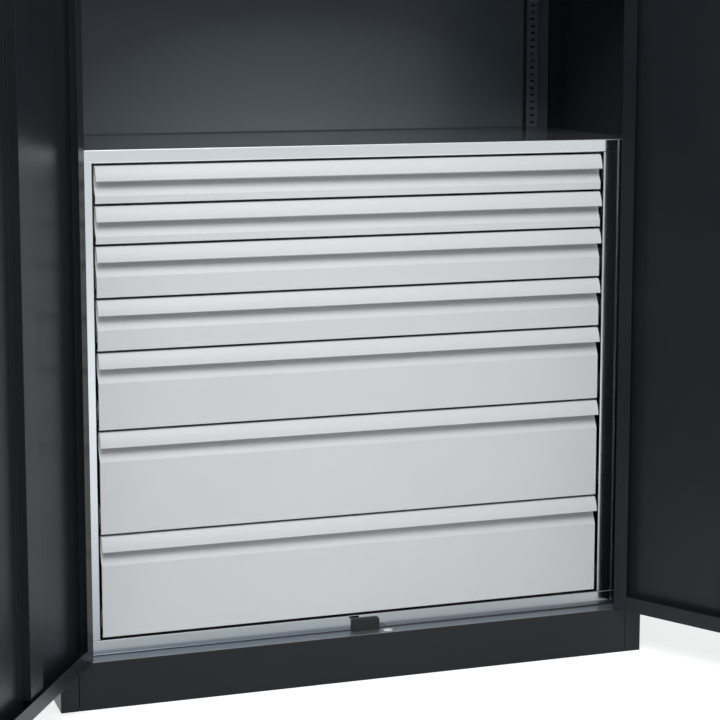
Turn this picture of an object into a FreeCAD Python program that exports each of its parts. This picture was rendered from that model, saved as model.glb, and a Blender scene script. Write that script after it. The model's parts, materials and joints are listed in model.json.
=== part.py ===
import FreeCAD, Part
import math
import os
import re
import Sketcher

# A steel storage cabinet with two hinged doors and a block of seven drawers standing inside.
# Millimetres. X runs to the right, Y to the back and Z up. The origin is on the floor, under the
# middle of the carcass, and the front faces -Y. The doors are drawn open.

SIZES = {
    # carcass
    "width": 1200,
    "depth": 500,
    "height": 1950,
    "panel_sheet": 1.5,
    "bend_radius": 2,
    "post_width": 35,
    "post_return": 32,
    "post_lip": 12,
    "roof_rim": 20,
    "header_height": 35,
    "plinth_height": 92,
    "base_flange": 30,
    "plinth_seam": 0.6,
    "ledge_depth": 35,
    "ledge_run": 70,
    "ledge_fold": 14,
    # slotted uprights above the drawer block
    "slot_pitch": 15,
    "slot_width": 8,
    "slot_height": 4,
    "slot_first": 12,
    "slot_count": 54,
    "rear_upright_inset": 34.5,
    "rear_upright_face": 27,
    "rear_upright_foot": 32,
    "upright_depth": 20,
    "front_upright_face": 32,
    "upright_head_gap": 6,
    # shelves
    "shelf_thickness": 30,
    "shelf_side_gap": 4,
    "shelf_end_gap": 2,
    "shelf_lower_step": 18,
    "shelf_upper_step": 36,
    "clip_width": 20,
    "clip_reach": 12,
    "clip_height": 8,
    "tongue_width": 6,
    "tongue_height": 3,
    # drawer block
    "frame_margin": 83,
    "frame_face": 41.5,
    "frame_return": 40,
    "frame_back_return": 25,
    "frame_back_gap": 8,
    "rail_height": 30,
    "rail_foot_radius": 4,
    "rail_top_run": 40,
    "stack_clearance": 2.4,
    "post_seam": 0.6,
    "stack_head_gap": 2,
    "cover_height": 25,
    "hook_slot_width": 4,
    "hook_slot_height": 11,
    "hook_slot_setback": 13,
    "hook_slot_spacing": 26,
    "latch_slot_centre": -10,
    "latch_slot_width": 20,
    "latch_slot_height": 5,
    "cover_back_fold": 20,
    # drawers
    "shallow_pitch": 75,
    "middle_pitch": 100,
    "deep_pitch": 150,
    "deepest_pitch": 200,
    "front_side_gap": 6,
    "front_gap": 5,
    "front_recess": 2,
    "front_sheet": 1.5,
    "front_return": 12,
    "grip_reach": 9,
    "grip_drop": 30.5,
    "grip_radius": 58,
    "crown_radius": 5,
    "crown_turn": 57,
    "grip_recess": 12,
    "recess_drop": 34.5,
    "slope_drop": 59,
    "tray_sheet": 1.2,
    "tray_end_gap": 10,
    "tray_hem": 5,
    "tray_floor_gap": 6,
    "tray_headroom": 20,
    # runners
    "runner_setback": 25,
    "runner_end_gap": 20.5,
    "runner_sheet": 1.5,
    "runner_height": 45,
    "runner_width": 6.9,
    "drawer_rail_height": 36,
    "drawer_rail_width": 7.7,
    "slider_end_gap": 10,
    "slider_height": 34,
    "slider_gap": 0.5,
    "roller_gap": 0.4,
    "roller_inset": 20,
    "tray_side_gap": 17,
    "runner_rise": 33.5,
    # doors
    "door_sheet": 1.2,
    "door_depth": 25,
    "door_rim": 30,
    "door_side_gap": 3,
    "door_end_gap": 2.5,
    "door_meeting_gap": 3,
    "door_angle": 120,
    "hinge_inset": 4.5,
    "pin_radius": 2.5,
    "pin_clearance": 0.05,
    "pin_reach": 14,
    "pin_collar": 4.2,
    "collar_gap": 0.3,
    "bush_side": 12,
    "bush_height": 15,
    "stiffener_width": 60,
    "stiffener_depth": 18,
    "stiffener_foot": 15,
    "strip_reach": 16,
    "strip_foot": 18,
    "strip_gap": 0.4,
    "strip_end": 60,
    # lock
    "rod_inset": 54,
    "rod_setback": 15,
    "rod_radius": 4.5,
    "rod_tip_gap": 0.5,
    "rod_slot_length": 16,
    "rod_slot_width": 11,
    "pinion_radius": 11,
    "pinion_thickness": 7,
    "pinion_gap": 0.4,
    "spindle_radius": 5,
    "spindle_clearance": 0.3,
    "handle_rise": 1050,
    "handle_length": 110,
    "handle_width": 22,
    "handle_thickness": 14,
    "handle_standoff": 18,
    "hub_radius": 15,
    "escutcheon_width": 44,
    "escutcheon_height": 150,
    "escutcheon_thickness": 3,
    "escutcheon_radius": 9,
    "case_width": 46,
    "case_height": 120,
    "case_gap": 1.5,
    "guide_height": 14,
    "guide_clearance": 0.3,
    "guide_wall": 3.6,
    # small pieces
    "stop_width": 54,
    "stop_height": 22,
    "stop_centre": 13,
    "stop_gap": 0.5,
    "foot_radius": 18,
    "foot_thickness": 7,
    "foot_stud_radius": 5,
    "foot_stud_length": 60,
    "foot_inset": 62,
    "foot_bracket_rise": 38,
    "foot_bracket_sheet": 3,
    "foot_bracket_side": 90,
}

# Places that many pieces share, as sums of the sizes above.
SIDE = "(width / 2)"
INSIDE = "(width / 2 - panel_sheet)"
FRONT = "(-depth / 2)"
BACK = "(depth / 2)"
BACK_WALL = "(depth / 2 - panel_sheet)"
RAIL = "(-depth / 2 + ledge_depth)"
OPENING = "(width / 2 - post_width)"
FRAME = "(width / 2 - frame_margin)"
RAIL_TOP = "(plinth_height + rail_height)"
STACK_FOOT = f"({RAIL_TOP} + stack_clearance)"
STACK = "(2 * shallow_pitch + 2 * middle_pitch + deep_pitch + 2 * deepest_pitch)"
STACK_TOP = f"({STACK_FOOT} + {STACK})"
BLOCK_TOP = f"({STACK_TOP} + stack_head_gap + cover_height)"
WALL_TOP = "(height - roof_rim)"
HEADER_FOOT = "(height - header_height)"
UPRIGHT_FACE = f"({BACK_WALL} - upright_depth)"
POST_BACK = f"({FRONT} + post_return)"
FRONT_FACE = f"({RAIL} + front_recess)"
FRONT_HALF = f"({FRAME} - front_side_gap)"
TRAY_FRONT = f"({FRONT_FACE} + grip_recess + front_sheet)"
TRAY_HALF = f"({FRAME} - tray_side_gap)"
POST_REAR = f"({BACK_WALL} - frame_back_gap)"
RUNNER_FRONT = f"({RAIL} + runner_setback)"
RUNNER_LENGTH = f"({POST_REAR} - runner_end_gap - {RUNNER_FRONT})"
SLIDER_LENGTH = f"({RUNNER_LENGTH} - slider_end_gap)"
SLIDER_IN = f"({FRAME} - runner_width - slider_gap - runner_sheet)"
TRAY_DEPTH = f"({RUNNER_LENGTH} - tray_end_gap)"
SLOT_FOOT = f"({BLOCK_TOP} + slot_first)"
HINGE_X = f"({OPENING} - door_side_gap - hinge_inset)"
HINGE_Y = f"({FRONT} + hinge_inset)"
DOOR_FOOT = "(plinth_height + door_end_gap)"
DOOR_TOP = f"({HEADER_FOOT} - door_end_gap)"
DOOR_HEIGHT = f"({DOOR_TOP} - {DOOR_FOOT})"
LEAF = f"({OPENING} - door_side_gap - door_meeting_gap / 2)"
DOOR_BACK = "(door_depth - hinge_inset)"
ROD_Y = f"({FRONT} + rod_setback)"
RACK = "(rod_radius + pinion_gap + pinion_radius)"

# The rods and the spindle between them, seen from the hinge line of the right door.
ROD_X = f"(rod_inset - {HINGE_X})"
ROD_LOCAL_Y = "(rod_setback - hinge_inset)"
SPINDLE_X = f"({ROD_X} - {RACK})"
UPPER_ROD_X = f"({ROD_X} - 2 * {RACK})"

# The drawers from the top down: each one's share of the stack.
PITCHES = [
    "shallow_pitch",
    "shallow_pitch",
    "middle_pitch",
    "middle_pitch",
    "deep_pitch",
    "deepest_pitch",
    "deepest_pitch",
]

doc = FreeCAD.newDocument("storage_cabinet")
sheet = doc.addObject("Spreadsheet::Sheet", "Sizes")
for row, (alias, size) in enumerate(SIZES.items(), start=1):
    sheet.set(f"A{row}", alias)
    sheet.set(f"B{row}", str(size))
    sheet.setAlias(f"B{row}", alias)
doc.recompute()

nodes = []
cuts = []


def bound(text):
    """The text with every size's name written as its cell in the sheet."""
    return re.sub(r"[a-z_]+", lambda m: f"Sizes.{m[0]}" if m[0] in SIZES else m[0], text)


def value(text):
    """What an expression of sizes comes to, in millimetres."""
    found = sheet.evalExpression(bound(text))
    return float(getattr(found, "Value", found))


def place(piece, x="0", y="0", z="0", turn=None):
    """Puts a piece at x, y, z, turned about Z by the angle in the cell that turn names."""
    if turn:
        piece.Placement = FreeCAD.Placement(
            FreeCAD.Vector(), FreeCAD.Rotation(FreeCAD.Vector(0, 0, 1), value(turn))
        )
        piece.setExpression("Placement.Rotation.Angle", bound(turn))
    for axis, text in zip("xyz", (x, y, z)):
        piece.setExpression(f"Placement.Base.{axis}", bound(text))
    return piece


def keep(piece, label):
    """Names a piece as one of the cabinet's sub-parts."""
    piece.Label = label
    nodes.append(piece)
    return piece


def group(label, members):
    """Several like solids as one sub-part."""
    made = doc.addObject("Part::Compound", label)
    made.Links = members
    return keep(made, label)


HALF_TURN = "half turn"


def new_body(name):
    return doc.addObject("PartDesign::Body", name)


def plane_sketch(body, plane, name="Outline"):
    """An empty sketch on one of the body's own origin planes."""
    sketch = body.newObject("Sketcher::SketchObject", name)
    planes = {feature.Role: feature for feature in body.Origin.OriginFeatures}
    sketch.AttachmentSupport = (planes[f"{plane}_Plane"], "")
    sketch.MapMode = "FlatFace"
    return sketch


def pin_point(sketch, edge, end, x, y):
    """Ties one end of an edge to the sketch's origin by two bound distances."""
    for kind, text in (("DistanceX", x), ("DistanceY", y)):
        at = sketch.addConstraint(Sketcher.Constraint(kind, -1, 1, edge, end, value(text)))
        sketch.setExpression(f"Constraints[{at}]", bound(text))


def arc_between(start, end, radius):
    """An arc from start to end that bulges to the left of that run, or to the right if negative."""
    run = end - start
    half = run.Length / 2
    left = FreeCAD.Vector(-run.y, run.x, 0).normalize()
    reach = math.sqrt(max(radius * radius - half * half, 0))
    centre = (start + end) / 2 - left * math.copysign(reach, radius)
    first, last = (end, start) if radius > 0 else (start, end)
    angles = [math.atan2(spot.y - centre.y, spot.x - centre.x) for spot in (first, last)]
    if angles[1] <= angles[0]:
        angles[1] += 2 * math.pi
    circle = Part.Circle(centre, FreeCAD.Vector(0, 0, 1), abs(radius))
    return Part.ArcOfCircle(circle, *angles)


def draw(sketch, outline):
    """A closed outline of (x, y) points.

    A third entry is the radius of the arc to the next point, or HALF_TURN for a half circle.
    """
    spots = [FreeCAD.Vector(value(p[0]), value(p[1]), 0) for p in outline]
    edges = []
    for i, point in enumerate(outline):
        start, end = spots[i], spots[(i + 1) % len(spots)]
        if len(point) == 2:
            edge = sketch.addGeometry(Part.LineSegment(start, end), False)
            edges.append((edge, 1, 2))
            continue
        radius = -(end - start).Length / 2 if point[2] == HALF_TURN else value(point[2])
        edge = sketch.addGeometry(arc_between(start, end, radius), False)
        edges.append((edge, 2, 1) if radius > 0 else (edge, 1, 2))
    for i, (edge, first, last) in enumerate(edges):
        following, head, _ = edges[(i + 1) % len(edges)]
        sketch.addConstraint(Sketcher.Constraint("Coincident", edge, last, following, head))
        pin_point(sketch, edge, first, outline[i][0], outline[i][1])
        if outline[i][2:] == (HALF_TURN,):
            at = sketch.addConstraint(
                Sketcher.Constraint("DistanceX", -1, 1, edge, 3, value(outline[i][0]))
            )
            sketch.setExpression(f"Constraints[{at}]", bound(outline[i][0]))
        elif len(outline[i]) == 3:
            size = f"abs({outline[i][2]})"
            at = sketch.addConstraint(Sketcher.Constraint("Radius", edge, value(size)))
            sketch.setExpression(f"Constraints[{at}]", bound(size))
    return sketch


def ring(sketch, x, y, radius):
    """A circle tied to the sketch's origin."""
    centre = FreeCAD.Vector(value(x), value(y), 0)
    circle = Part.Circle(centre, FreeCAD.Vector(0, 0, 1), value(radius))
    edge = sketch.addGeometry(circle, False)
    pin_point(sketch, edge, 3, x, y)
    at = sketch.addConstraint(Sketcher.Constraint("Radius", edge, value(radius)))
    sketch.setExpression(f"Constraints[{at}]", bound(radius))
    return sketch


def rectangle(x, y, across, up):
    """The corners of a rectangle from its low corner and its two sides."""
    return [(x, y), (f"{x} + {across}", y), (f"{x} + {across}", f"{y} + {up}"), (x, f"{y} + {up}")]


def rounded(x, y, across, up, radius):
    """A rectangle with round corners."""
    right, top = f"{x} + {across}", f"{y} + {up}"
    return [
        (f"{x} + {radius}", y),
        (f"{right} - {radius}", y, f"-{radius}"),
        (right, f"{y} + {radius}"),
        (right, f"{top} - {radius}", f"-{radius}"),
        (f"{right} - {radius}", top),
        (f"{x} + {radius}", top, f"-{radius}"),
        (x, f"{top} - {radius}"),
        (x, f"{y} + {radius}", f"-{radius}"),
    ]


def oblong(x, y, length, width):
    """A slot with round ends, along the sketch's first axis."""
    half = f"({length} - {width}) / 2"
    left, right = f"{x} - {half}", f"{x} + {half}"
    low, high = f"{y} - {width} / 2", f"{y} + {width} / 2"
    return [(left, low), (right, low, HALF_TURN), (right, high), (left, high, HALF_TURN)]


def pad(body, sketch, length, backwards=False):
    made = body.newObject("PartDesign::Pad", "Pad")
    made.Profile = sketch
    made.setExpression("Length", bound(length))
    made.Reversed = backwards
    sketch.Visibility = False
    return made


def cut(body, sketch, length=None, backwards=False):
    """Cuts a sketch into the body, right through if no length is given."""
    before = body.Tip
    made = body.newObject("PartDesign::Pocket", "Pocket")
    made.Profile = sketch
    if length:
        made.setExpression("Length", bound(length))
    else:
        made.Type = "ThroughAll"
    made.Reversed = backwards
    cuts.append((made, before))
    return made


def hollow(body, x, y, z, along, across, up):
    """Takes a box out of the body."""
    before = body.Tip
    made = body.newObject("PartDesign::SubtractiveBox", "Hollow")
    for size, text in (("Length", along), ("Width", across), ("Height", up)):
        made.setExpression(size, bound(text))
    place(made, x, y, z)
    cuts.append((made, before))
    return made


def turned(name, outline):
    """A body turned about Z, from its half outline of (radius, height) points."""
    body = new_body(name)
    sketch = draw(plane_sketch(body, "XZ"), outline)
    made = body.newObject("PartDesign::Revolution", "Revolution")
    made.Profile = sketch
    made.ReferenceAxis = (sketch, ["V_Axis"])
    made.Angle = 360
    return body


def folded(name, plane, outline, length, backwards=False):
    """A bent sheet or bar: one outline, drawn out along a straight run."""
    body = new_body(name)
    pad(body, draw(plane_sketch(body, plane), outline), length, backwards)
    return body


def block(name, x, y, z, along, across, up):
    """A plain rectangular piece."""
    made = doc.addObject("Part::Box", name)
    for size, text in (("Length", along), ("Width", across), ("Height", up)):
        made.setExpression(size, bound(text))
    return place(made, x, y, z)


def mirrored(outline, side):
    """The same outline on the right of the cabinet (side 1) or on its left (side -1)."""
    if side > 0:
        return outline
    flipped = []
    for point in outline:
        flipped.append((f"-({point[0]})", *point[1:2], *[f"-({r})" for r in point[2:]]))
    return flipped


SIDES = {"left": -1, "right": 1}


def side_panel(name, side):
    """Outer wall, front post and the post's return, all one sheet."""
    outline = [
        (SIDE, BACK),
        (SIDE, f"{FRONT} + bend_radius", "bend_radius"),
        (f"{SIDE} - bend_radius", FRONT),
        (f"{OPENING} + bend_radius", FRONT, "bend_radius"),
        (OPENING, f"{FRONT} + bend_radius"),
        (OPENING, POST_BACK),
        (f"{OPENING} + post_lip", POST_BACK),
        (f"{OPENING} + post_lip", f"{POST_BACK} - panel_sheet"),
        (f"{OPENING} + panel_sheet", f"{POST_BACK} - panel_sheet"),
        (f"{OPENING} + panel_sheet", f"{FRONT} + panel_sheet"),
        (INSIDE, f"{FRONT} + panel_sheet"),
        (INSIDE, BACK),
    ]
    keep(folded(name, "XY", mirrored(outline, side), WALL_TOP), name)


def back_panel():
    piece = block(
        "back_panel",
        f"-{INSIDE}",
        BACK_WALL,
        "0",
        f"2 * {INSIDE}",
        "panel_sheet",
        WALL_TOP,
    )
    keep(piece, "back_panel")


def roof_panel():
    """A shallow lid whose rim stands on the walls."""
    body = new_body("roof_panel")
    outer = rectangle(f"-{SIDE}", FRONT, "width", "depth")
    pad(body, draw(plane_sketch(body, "XY"), outer), "roof_rim")
    hollow(
        body,
        f"-{INSIDE}",
        f"{FRONT} + panel_sheet",
        "0",
        f"2 * {INSIDE}",
        "depth - 2 * panel_sheet",
        "roof_rim - panel_sheet",
    )
    keep(place(body, z=WALL_TOP), "roof_panel")


def header():
    """The folded rail over the doors; its lower run takes the upper pivots and the upper rod."""
    outline = [
        (FRONT, WALL_TOP),
        (FRONT, f"{HEADER_FOOT} + bend_radius", "-bend_radius"),
        (f"{FRONT} + bend_radius", HEADER_FOOT),
        (f"{RAIL} + stop_gap", HEADER_FOOT),
        (f"{RAIL} + stop_gap", f"{HEADER_FOOT} + ledge_fold"),
        (f"{RAIL} + stop_gap - panel_sheet", f"{HEADER_FOOT} + ledge_fold"),
        (f"{RAIL} + stop_gap - panel_sheet", f"{HEADER_FOOT} + panel_sheet"),
        (f"{FRONT} + panel_sheet", f"{HEADER_FOOT} + panel_sheet"),
        (f"{FRONT} + panel_sheet", WALL_TOP),
    ]
    body = folded("header", "YZ", outline, f"2 * {OPENING}")
    bore = plane_sketch(body, "XY", "Bores")
    for side in (-1, 1):
        ring(bore, f"{OPENING} + {side} * {HINGE_X}", HINGE_Y, "pin_radius")
    upper = f"{OPENING} + rod_inset - 2 * {RACK}"
    draw(bore, oblong(upper, ROD_Y, "rod_slot_length", "rod_slot_width"))
    cut(body, bore, backwards=True)
    keep(place(body, x=f"-{OPENING}"), "header")


def plinth_front():
    """Kick plate and ledge in one sheet, with the lower pivots' bores and the lower rod's slot."""
    outline = [
        (FRONT, "0"),
        (POST_BACK, "0"),
        (POST_BACK, "panel_sheet"),
        (f"{FRONT} + panel_sheet", "panel_sheet"),
        (f"{FRONT} + panel_sheet", "plinth_height - panel_sheet"),
        (f"{FRONT} + ledge_run - panel_sheet", "plinth_height - panel_sheet"),
        (f"{FRONT} + ledge_run - panel_sheet", "plinth_height - ledge_fold"),
        (f"{FRONT} + ledge_run", "plinth_height - ledge_fold"),
        (f"{FRONT} + ledge_run", "plinth_height"),
        (f"{FRONT} + bend_radius", "plinth_height", "-bend_radius"),
        (FRONT, "plinth_height - bend_radius"),
    ]
    half = f"({OPENING} - plinth_seam)"
    body = folded("plinth_front", "YZ", outline, f"2 * {half}")
    bore = plane_sketch(body, "XY", "Bores")
    for side in (-1, 1):
        ring(bore, f"{half} + {side} * {HINGE_X}", HINGE_Y, "pin_radius")
    draw(bore, oblong(f"{half} + rod_inset", ROD_Y, "rod_slot_length", "rod_slot_width"))
    bore.setExpression("AttachmentOffset.Base.z", bound("plinth_height"))
    cut(body, bore, "2 * panel_sheet")
    keep(place(body, x=f"-{half}"), "plinth_front")


def base_frame():
    """A turned-in frame that the floor rests on."""
    body = new_body("base_frame")
    run = f"({BACK_WALL} - {POST_BACK})"
    rise = "(plinth_height - panel_sheet)"
    outer = rectangle(f"-{INSIDE}", POST_BACK, f"2 * {INSIDE}", run)
    pad(body, draw(plane_sketch(body, "XY"), outer), rise)
    hollow(
        body,
        f"-{INSIDE} + panel_sheet",
        f"{POST_BACK} + panel_sheet",
        "panel_sheet",
        f"2 * {INSIDE} - 2 * panel_sheet",
        f"{run} - 2 * panel_sheet",
        rise,
    )
    hollow(
        body,
        f"-{INSIDE} + base_flange",
        f"{POST_BACK} + base_flange",
        "-1",
        f"2 * {INSIDE} - 2 * base_flange",
        f"{run} - 2 * base_flange",
        "1 + 2 * panel_sheet",
    )
    keep(body, "base_frame")


def floor_panel():
    start = f"({FRONT} + ledge_run)"
    piece = block(
        "floor_panel",
        f"-{INSIDE}",
        start,
        "plinth_height - panel_sheet",
        f"2 * {INSIDE}",
        f"{BACK_WALL} - {start}",
        "panel_sheet",
    )
    keep(piece, "floor_panel")


def slotted(body, centre, reach):
    """A column of shelf slots, cut along Y through the upright's face."""
    first = plane_sketch(body, "XZ", "Slot")
    low = f"{centre} - slot_width / 2"
    draw(first, rectangle(low, "slot_first - slot_height / 2", "slot_width", "slot_height"))
    slot = cut(body, first, reach, backwards=False)
    slot.Midplane = True
    column = body.newObject("PartDesign::LinearPattern", "Column")
    column.Originals = [slot]
    column.Direction = (first, ["V_Axis"])
    column.setExpression("Length", bound("slot_pitch * (slot_count - 1)"))
    column.setExpression("Occurrences", bound("slot_count"))
    body.Tip = column
    cuts.append((column, slot))


def rear_upright(side):
    """Slotted hat section against the back wall, standing on the drawer block."""
    outer = f"({SIDE} - rear_upright_inset)"
    inner = f"({outer} - rear_upright_face)"
    foot = f"({outer} + rear_upright_foot)"
    outline = [
        (inner, BACK_WALL),
        (inner, UPRIGHT_FACE),
        (outer, UPRIGHT_FACE),
        (outer, f"{BACK_WALL} - panel_sheet"),
        (foot, f"{BACK_WALL} - panel_sheet"),
        (foot, BACK_WALL),
        (f"{outer} - panel_sheet", BACK_WALL),
        (f"{outer} - panel_sheet", f"{UPRIGHT_FACE} + panel_sheet"),
        (f"{inner} + panel_sheet", f"{UPRIGHT_FACE} + panel_sheet"),
        (f"{inner} + panel_sheet", BACK_WALL),
    ]
    length = f"{WALL_TOP} - {BLOCK_TOP} - upright_head_gap"
    body = folded("Upright", "XY", mirrored(outline, side), length)
    slotted(body, f"{side} * ({inner} + {outer}) / 2", f"2 * ({UPRIGHT_FACE} + 2 * panel_sheet)")
    return place(body, z=BLOCK_TOP)


def front_upright(side):
    """Slotted angle behind the front post, its slots facing the back."""
    inner = f"({INSIDE} - front_upright_face)"
    face = f"({POST_BACK} + upright_depth)"
    outline = [
        (INSIDE, POST_BACK),
        (INSIDE, face),
        (inner, face),
        (inner, f"{face} - panel_sheet"),
        (f"{INSIDE} - panel_sheet", f"{face} - panel_sheet"),
        (f"{INSIDE} - panel_sheet", POST_BACK),
    ]
    length = f"{WALL_TOP} - {BLOCK_TOP} - upright_head_gap"
    body = folded("Upright", "XY", mirrored(outline, side), length)
    centre = f"{side} * ({INSIDE} - front_upright_face / 2)"
    slotted(body, centre, f"2 * (-{face} + 2 * panel_sheet)")
    return place(body, z=BLOCK_TOP)


def shelf(name, step):
    """A shelf panel with turned-down edges."""
    start = f"({POST_BACK} + upright_depth + shelf_end_gap)"
    run = f"({UPRIGHT_FACE} - shelf_end_gap - {start})"
    half = f"({INSIDE} - shelf_side_gap)"
    body = new_body(name)
    pad(
        body,
        draw(plane_sketch(body, "XY"), rectangle(f"-{half}", start, f"2 * {half}", run)),
        "shelf_thickness",
    )
    hollow(
        body,
        f"-{half} + panel_sheet",
        f"{start} + panel_sheet",
        "0",
        f"2 * {half} - 2 * panel_sheet",
        f"{run} - 2 * panel_sheet",
        "shelf_thickness - panel_sheet",
    )
    keep(place(body, z=f"{SLOT_FOOT} + slot_pitch * {step} + clip_height / 2"), name)


def shelf_clip(centre, face, back, step):
    """A bent tab that hooks into a slot and carries a shelf's edge."""
    toward = 1 if back else -1
    level = f"{SLOT_FOOT} + slot_pitch * {step}"
    outline = [
        (f"{face} - {toward} * clip_reach", "-clip_height / 2"),
        (face, "-clip_height / 2"),
        (face, "-tongue_height / 2"),
        (f"{face} + {toward} * 3 * panel_sheet", "-tongue_height / 2"),
        (f"{face} + {toward} * 3 * panel_sheet", "tongue_height / 2"),
        (face, "tongue_height / 2"),
        (face, "clip_height / 2"),
        (f"{face} - {toward} * clip_reach", "clip_height / 2"),
    ]
    body = folded("Clip", "YZ", outline, "clip_width")
    trim = plane_sketch(body, "XY", "Tongue")
    start = f"{face}" if back else f"{face} - 4 * panel_sheet"
    side = "(clip_width - tongue_width) / 2"
    draw(trim, rectangle("-1", start, f"{side} + 1", "4 * panel_sheet"))
    draw(trim, rectangle(f"clip_width - {side}", start, f"{side} + 1", "4 * panel_sheet"))
    slice_off = cut(body, trim, "2 * clip_height", backwards=False)
    slice_off.Midplane = True
    return place(body, x=f"{centre} - clip_width / 2", z=level)


def shelves():
    shelf("shelf_lower", "shelf_lower_step")
    shelf("shelf_upper", "shelf_upper_step")
    rear = f"({SIDE} - rear_upright_inset - rear_upright_face / 2)"
    front = f"({INSIDE} - front_upright_face / 2)"
    front_face = f"({POST_BACK} + upright_depth)"
    clips = []
    for step in ("shelf_lower_step", "shelf_upper_step"):
        for side in (-1, 1):
            clips.append(shelf_clip(f"{side} * {rear}", UPRIGHT_FACE, True, step))
            clips.append(shelf_clip(f"{side} * {front}", front_face, False, step))
    group("shelf_clips", clips)


def block_cover():
    """The top of the drawer block; its front fold is the frame's top rail."""
    foot = f"({BLOCK_TOP} - cover_height)"
    outline = [
        (f"{RAIL} + bend_radius", foot),
        (f"{RAIL} + post_lip", foot),
        (f"{RAIL} + post_lip", f"{foot} + panel_sheet"),
        (f"{RAIL} + panel_sheet", f"{foot} + panel_sheet"),
        (f"{RAIL} + panel_sheet", f"{BLOCK_TOP} - panel_sheet"),
        (f"{BACK_WALL} - panel_sheet", f"{BLOCK_TOP} - panel_sheet"),
        (f"{BACK_WALL} - panel_sheet", f"{BLOCK_TOP} - cover_back_fold"),
        (BACK_WALL, f"{BLOCK_TOP} - cover_back_fold"),
        (BACK_WALL, BLOCK_TOP),
        (f"{RAIL} + bend_radius", BLOCK_TOP, "-bend_radius"),
        (RAIL, f"{BLOCK_TOP} - bend_radius"),
        (RAIL, f"{foot} + bend_radius", "-bend_radius"),
    ]
    body = folded("block_cover", "YZ", outline, f"2 * {INSIDE}")
    keep(place(body, x=f"-{INSIDE}"), "block_cover")


def block_bottom_rail():
    """A sheet folded with a wide bend along the ledge, under the drawers."""
    outline = [
        (f"{RAIL} + rail_foot_radius", "plinth_height"),
        (f"{RAIL} + base_flange", "plinth_height"),
        (f"{RAIL} + base_flange", "plinth_height + panel_sheet"),
        (
            f"{RAIL} + rail_foot_radius",
            "plinth_height + panel_sheet",
            "rail_foot_radius - panel_sheet",
        ),
        (f"{RAIL} + panel_sheet", "plinth_height + rail_foot_radius"),
        (f"{RAIL} + panel_sheet", f"{RAIL_TOP} - panel_sheet"),
        (f"{RAIL} + rail_top_run", f"{RAIL_TOP} - panel_sheet"),
        (f"{RAIL} + rail_top_run", RAIL_TOP),
        (f"{RAIL} + bend_radius", RAIL_TOP, "-bend_radius"),
        (RAIL, f"{RAIL_TOP} - bend_radius"),
        (RAIL, "plinth_height + rail_foot_radius", "-rail_foot_radius"),
    ]
    body = folded("block_bottom_rail", "YZ", outline, f"2 * {INSIDE}")
    latch = plane_sketch(body, "XZ", "Latch")
    left = f"{INSIDE} + latch_slot_centre - latch_slot_width / 2"
    low = f"{RAIL_TOP} - latch_slot_height"
    draw(latch, rectangle(left, low, "latch_slot_width", "2 * latch_slot_height"))
    latch.setExpression("AttachmentOffset.Base.z", bound(f"-({RAIL} + panel_sheet)"))
    cut(body, latch, "2 * panel_sheet", backwards=True)
    keep(place(body, x=f"-{INSIDE}"), "block_bottom_rail")


def block_post(face, back, side):
    """A folded post of the drawer block, with the return that carries the runners."""
    toward = 1 if back else -1
    outer = f"({FRAME} + frame_face)"
    near = f"({face} - {toward} * panel_sheet)"
    outline = [
        (FRAME, face),
        (outer, face),
        (outer, f"{face} - {toward} * frame_back_return"),
        (f"{outer} - panel_sheet", f"{face} - {toward} * frame_back_return"),
        (f"{outer} - panel_sheet", near),
        (f"{FRAME} + panel_sheet", near),
        (f"{FRAME} + panel_sheet", f"{face} - {toward} * frame_return"),
        (FRAME, f"{face} - {toward} * frame_return"),
    ]
    foot = "plinth_height" if back else f"({RAIL_TOP} + post_seam)"
    head = f"({BLOCK_TOP} - panel_sheet)" if back else f"({BLOCK_TOP} - cover_height)"
    body = folded("Post", "XY", mirrored(outline, side), f"{head} - {foot}")
    if not back:
        hooks = plane_sketch(body, "YZ", "Hooks")
        for number in range(len(PITCHES)):
            for turn in (-1, 1):
                centre = f"{runner_level(number)} - {foot} + {turn} * hook_slot_spacing / 2"
                low = f"{centre} - hook_slot_height / 2"
                near_side = f"{face} + hook_slot_setback"
                draw(hooks, rectangle(near_side, low, "hook_slot_width", "hook_slot_height"))
        hooks.setExpression("AttachmentOffset.Base.z", bound(f"{side} * {FRAME}"))
        cut(body, hooks, "4 * panel_sheet").Midplane = True
    return place(body, z=foot)


def drawer_level(number):
    """The height of the top of one drawer's share of the stack."""
    above = " + ".join(PITCHES[:number]) or "0"
    return f"({STACK_TOP} - ({above}))"


def runner_level(number):
    return f"({drawer_level(number)} - {PITCHES[number]} + runner_rise)"


def channel(web, height, width, inward):
    """A runner's C section: web at one X, flanges running inward of it by its width."""
    far = f"({web} + {inward} * {width})"
    wall = f"({web} + {inward} * runner_sheet)"
    half = f"({height} / 2)"
    return [
        (web, f"-{half}"),
        (web, half),
        (far, half),
        (far, f"{half} - runner_sheet"),
        (wall, f"{half} - runner_sheet"),
        (wall, f"-{half} + runner_sheet"),
        (far, f"-{half} + runner_sheet"),
        (far, f"-{half}"),
    ]


def fixed_runners(name, side):
    """The carcass members of every drawer's runner on one side."""
    members = []
    for number in range(len(PITCHES)):
        outline = channel(FRAME, "runner_height", "runner_width", -1)
        body = folded("Runner", "XZ", mirrored(outline, side), RUNNER_LENGTH, True)
        members.append(place(body, y=RUNNER_FRONT, z=runner_level(number)))
    group(name, members)


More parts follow.
